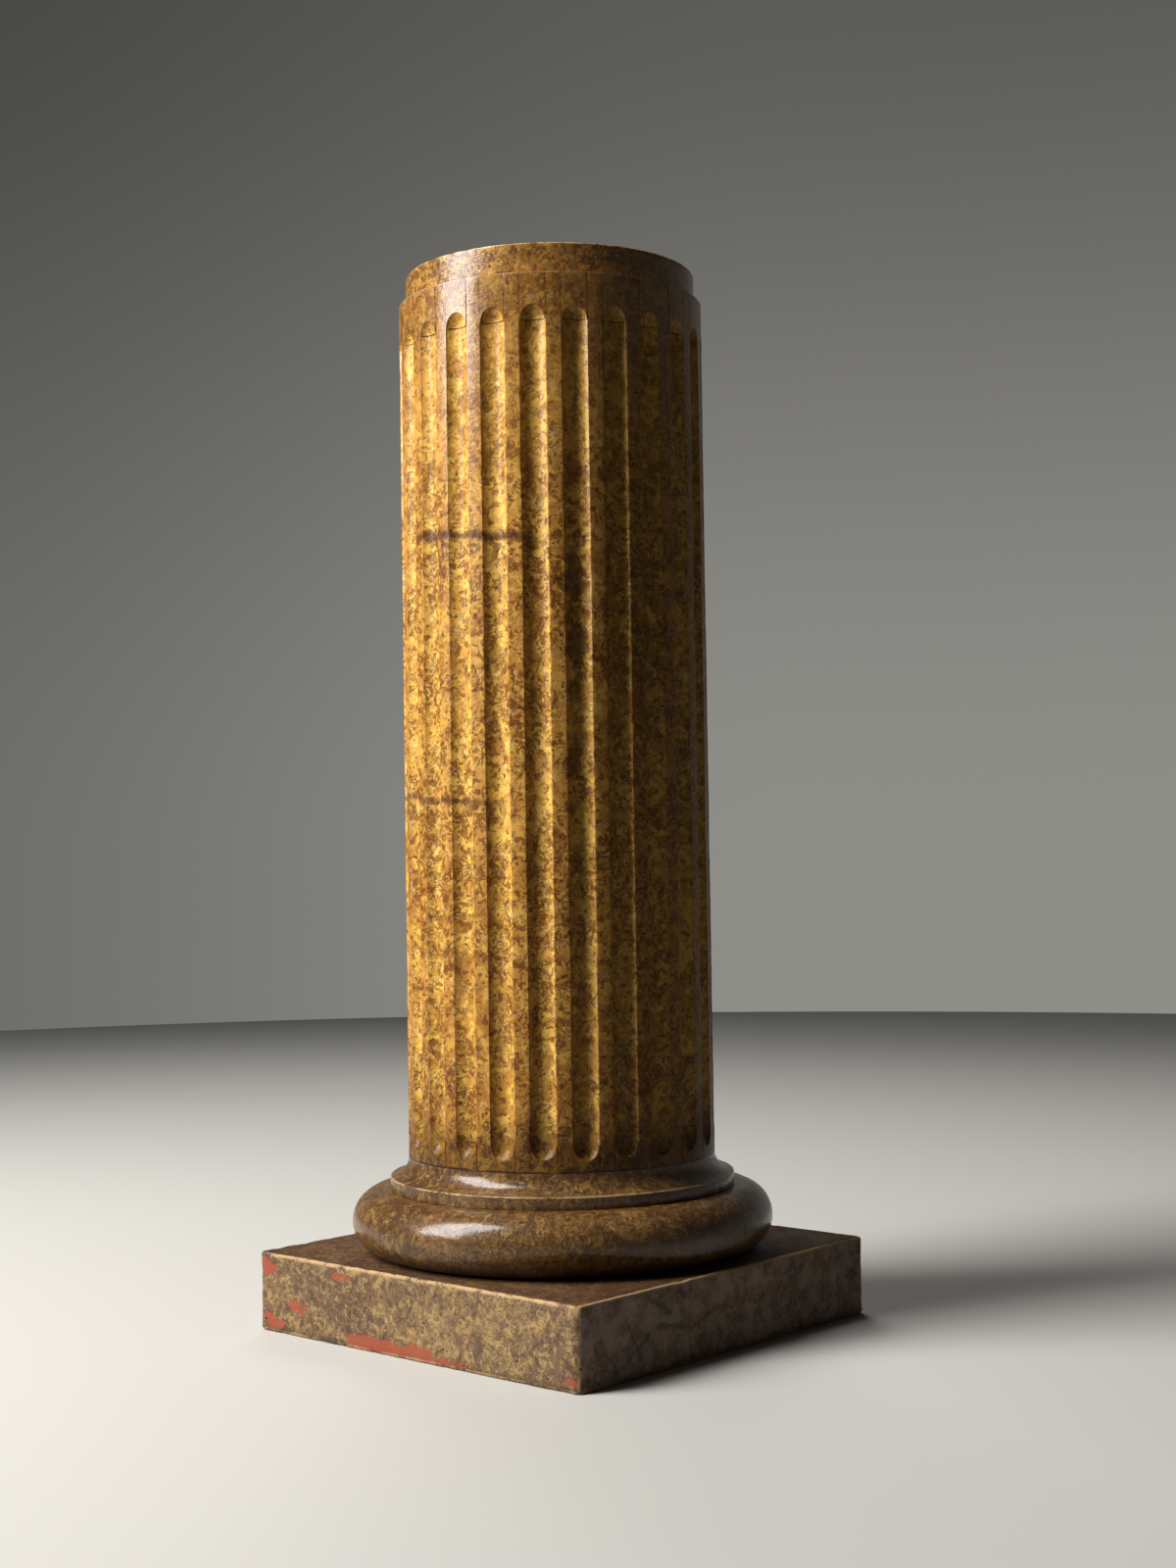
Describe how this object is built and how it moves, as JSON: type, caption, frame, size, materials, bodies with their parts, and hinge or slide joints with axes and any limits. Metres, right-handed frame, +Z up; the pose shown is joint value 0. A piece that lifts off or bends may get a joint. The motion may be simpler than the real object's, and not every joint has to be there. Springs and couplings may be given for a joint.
{
  "type": "fluted column pedestal",
  "caption": "Fluted column pedestal on a square plinth, with a torus and hollowed ring at the foot and a stepped flat top, that stands by its own weight to carry a bust or vase.",
  "frame": {"origin": "middle of the plinth's underside, on the floor", "axes": "+Z up along the column; the plinth's faces look along +X, -X, +Y and -Y"},
  "size_m": [0.41, 0.41, 1],
  "materials": {
    "plinth_paint": "faux-marble paint in olive brown with ochre flecks over red bole, worn at the edges, satin",
    "moulding_paint": "faux-marble paint in olive brown and ochre, crackled satin varnish",
    "shaft_paint": "faux-marble paint in yellow ochre with short umber flecks, satin varnish",
    "collar_paint": "faux-marble paint in yellow ochre with umber flecks, glossy varnish, worn upper edge"
  },
  "bodies": {
    "root": {"plinth": "plinth_paint", "torus": "moulding_paint", "base_ring": "moulding_paint", "shaft": "shaft_paint", "collar": "collar_paint", "head_stop_1": "shaft_paint", "head_stop_2": "shaft_paint", "head_stop_3": "shaft_paint", "head_stop_4": "shaft_paint", "head_stop_5": "shaft_paint", "head_stop_6": "shaft_paint", "head_stop_7": "shaft_paint", "head_stop_8": "shaft_paint", "head_stop_9": "shaft_paint", "head_stop_10": "shaft_paint", "head_stop_11": "shaft_paint", "head_stop_12": "shaft_paint", "head_stop_13": "shaft_paint", "head_stop_14": "shaft_paint", "head_stop_15": "shaft_paint", "head_stop_16": "shaft_paint", "head_stop_17": "shaft_paint", "head_stop_18": "shaft_paint", "head_stop_19": "shaft_paint", "head_stop_20": "shaft_paint", "head_stop_21": "shaft_paint", "head_stop_22": "shaft_paint", "head_stop_23": "shaft_paint", "head_stop_24": "shaft_paint", "foot_stop_1": "shaft_paint", "foot_stop_2": "shaft_paint", "foot_stop_3": "shaft_paint", "foot_stop_4": "shaft_paint", "foot_stop_5": "shaft_paint", "foot_stop_6": "shaft_paint", "foot_stop_7": "shaft_paint", "foot_stop_8": "shaft_paint", "foot_stop_9": "shaft_paint", "foot_stop_10": "shaft_paint", "foot_stop_11": "shaft_paint", "foot_stop_12": "shaft_paint", "foot_stop_13": "shaft_paint", "foot_stop_14": "shaft_paint", "foot_stop_15": "shaft_paint", "foot_stop_16": "shaft_paint", "foot_stop_17": "shaft_paint", "foot_stop_18": "shaft_paint", "foot_stop_19": "shaft_paint", "foot_stop_20": "shaft_paint", "foot_stop_21": "shaft_paint", "foot_stop_22": "shaft_paint", "foot_stop_23": "shaft_paint", "foot_stop_24": "shaft_paint"}
  },
  "joints": []
}
